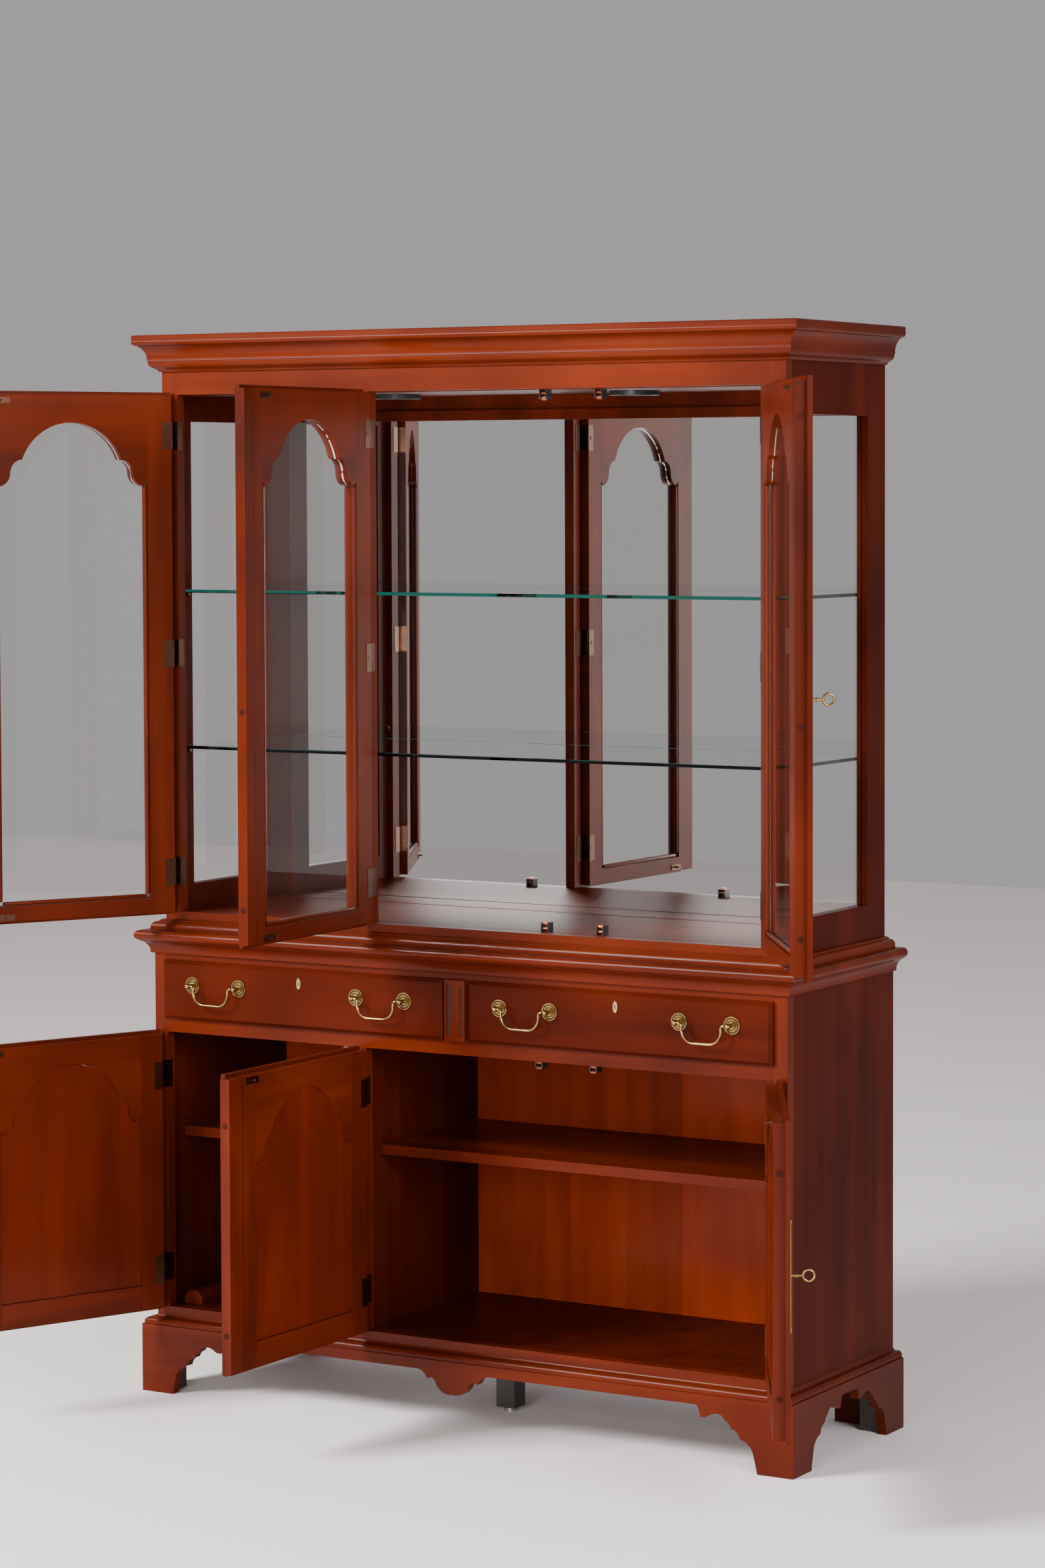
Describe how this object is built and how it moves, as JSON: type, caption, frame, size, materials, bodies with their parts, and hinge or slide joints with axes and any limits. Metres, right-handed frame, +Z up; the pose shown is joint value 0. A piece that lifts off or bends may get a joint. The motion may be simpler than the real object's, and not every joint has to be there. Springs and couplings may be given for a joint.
{
  "type": "china cabinet",
  "caption": "Tall china cabinet: glazed arched doors over a mirror-backed display case with glass shelves, on a base with drawers and panelled doors, standing on bracket feet.",
  "frame": {"origin": "floor point under the centre support leg", "axes": "front faces -Y, +Z up, +X to the viewer's right when facing the front"},
  "size_m": [1.7174, 0.8319, 1.95],
  "materials": {
    "cherry": "semi-gloss reddish brown",
    "cherry_inside": "satin orange brown inside surfaces",
    "black_wood": "black stained",
    "pale_wood": "plain drawer wood",
    "clear_glass": "clear",
    "mirror_glass": "polished",
    "lens": "frosted",
    "black_plastic": "matte",
    "aged_brass": "aged",
    "bronze": "antique dark",
    "steel": "satin",
    "copper_roller": "polished"
  },
  "bodies": {
    "case": {"apron": "cherry", "base_back": "cherry_inside", "base_case": "cherry", "base_frame": "cherry", "base_moulding": "cherry", "base_shelves": "cherry_inside", "base_top": "cherry", "bracket_feet": "cherry", "catch_rollers": "copper_roller", "catches": "black_plastic", "ceiling": "cherry", "centre_leg": "black_wood", "crown": "cherry", "deck": "cherry", "drawer_runners": "pale_wood", "flute_block": "cherry", "foot_blocks": "black_wood", "frame_hinges": "bronze", "glass_shelves": "clear_glass", "leg_glide": "steel", "loose_rail": "cherry_inside", "mirror": "mirror_glass", "puck_lenses": "lens", "puck_rings": "black_plastic", "shelf_pins": "steel", "side_frames": "cherry", "side_glass": "clear_glass", "upper_back": "cherry", "upper_frame": "cherry", "waist_moulding": "cherry"},
    "door_left": {"door_left_fittings": "bronze", "door_left_frame": "cherry", "door_left_glass": "clear_glass"},
    "door_centre": {"door_centre_fittings": "bronze", "door_centre_frame": "cherry", "door_centre_glass": "clear_glass"},
    "door_right": {"door_right_escutcheon": "aged_brass", "door_right_fittings": "bronze", "door_right_frame": "cherry", "door_right_glass": "clear_glass"},
    "cupboard_left": {"cupboard_left_fittings": "bronze", "cupboard_left_frame": "cherry", "cupboard_left_panel": "cherry"},
    "cupboard_centre": {"cupboard_centre_fittings": "bronze", "cupboard_centre_frame": "cherry", "cupboard_centre_panel": "cherry"},
    "cupboard_right": {"cupboard_right_escutcheon": "aged_brass", "cupboard_right_fittings": "bronze", "cupboard_right_frame": "cherry", "cupboard_right_panel": "cherry"},
    "key_door": {"key_door": "aged_brass"},
    "key_cupboard": {"key_cupboard": "aged_brass"},
    "drawer_left": {"drawer_left": "cherry", "roses_left": "aged_brass"},
    "bail_left_1": {"bail_left_1": "aged_brass"},
    "bail_left_2": {"bail_left_2": "aged_brass"},
    "drawer_right": {"drawer_right": "cherry", "roses_right": "aged_brass"},
    "bail_right_1": {"bail_right_1": "aged_brass"},
    "bail_right_2": {"bail_right_2": "aged_brass"}
  },
  "joints": [
    {"name": "door_left_hinge", "type": "hinge", "parent": "case", "child": "door_left", "pos_m": [-0.6215, -0.1636, 1.366], "axis": [0, 0, -1], "range_deg": [-119, 6]},
    {"name": "door_centre_hinge", "type": "hinge", "parent": "case", "child": "door_centre", "pos_m": [-0.2001, -0.1636, 1.366], "axis": [0, 0, -1], "range_deg": [-88.6, 6]},
    {"name": "door_right_hinge", "type": "hinge", "parent": "case", "child": "door_right", "pos_m": [0.6215, -0.1636, 1.366], "axis": [0, 0, 1], "range_deg": [-125.5, 6]},
    {"name": "cupboard_left_hinge", "type": "hinge", "parent": "case", "child": "cupboard_left", "pos_m": [-0.6405, -0.1825, 0.414], "axis": [0, 0, -1], "range_deg": [-114, 6]},
    {"name": "cupboard_centre_hinge", "type": "hinge", "parent": "case", "child": "cupboard_centre", "pos_m": [-0.2025, -0.1825, 0.414], "axis": [0, 0, -1], "range_deg": [-91, 6]},
    {"name": "cupboard_right_hinge", "type": "hinge", "parent": "case", "child": "cupboard_right", "pos_m": [0.6405, -0.1825, 0.414], "axis": [0, 0, 1], "range_deg": [-119.5, 6]},
    {"name": "key_door_turn", "type": "hinge", "parent": "door_right", "child": "key_door", "pos_m": [0.85192, -0.48664, 1.3335], "axis": [-0.8141, -0.5807, 0], "range_deg": [0, 90]},
    {"name": "key_cupboard_turn", "type": "hinge", "parent": "cupboard_right", "child": "key_cupboard", "pos_m": [0.84116, -0.53717, 0.4227], "axis": [-0.8704, -0.4924, 0], "range_deg": [0, 90]},
    {"name": "drawer_left_slide", "type": "slide", "parent": "case", "child": "drawer_left", "axis": [0, -1, 0], "range_m": [0, 0.28]},
    {"name": "bail_left_1_swing", "type": "hinge", "parent": "drawer_left", "child": "bail_left_1", "pos_m": [-0.5123, -0.2073, 0.76], "axis": [-1, 0, 0], "range_deg": [0, 95]},
    {"name": "bail_left_2_swing", "type": "hinge", "parent": "drawer_left", "child": "bail_left_2", "pos_m": [-0.1535, -0.2073, 0.76], "axis": [-1, 0, 0], "range_deg": [0, 95]},
    {"name": "drawer_right_slide", "type": "slide", "parent": "case", "child": "drawer_right", "axis": [0, -1, 0], "range_m": [0, 0.28]},
    {"name": "bail_right_1_swing", "type": "hinge", "parent": "drawer_right", "child": "bail_right_1", "pos_m": [0.14725, -0.2073, 0.76], "axis": [-1, 0, 0], "range_deg": [0, 95]},
    {"name": "bail_right_2_swing", "type": "hinge", "parent": "drawer_right", "child": "bail_right_2", "pos_m": [0.5071, -0.2073, 0.76], "axis": [-1, 0, 0], "range_deg": [0, 95]}
  ]
}
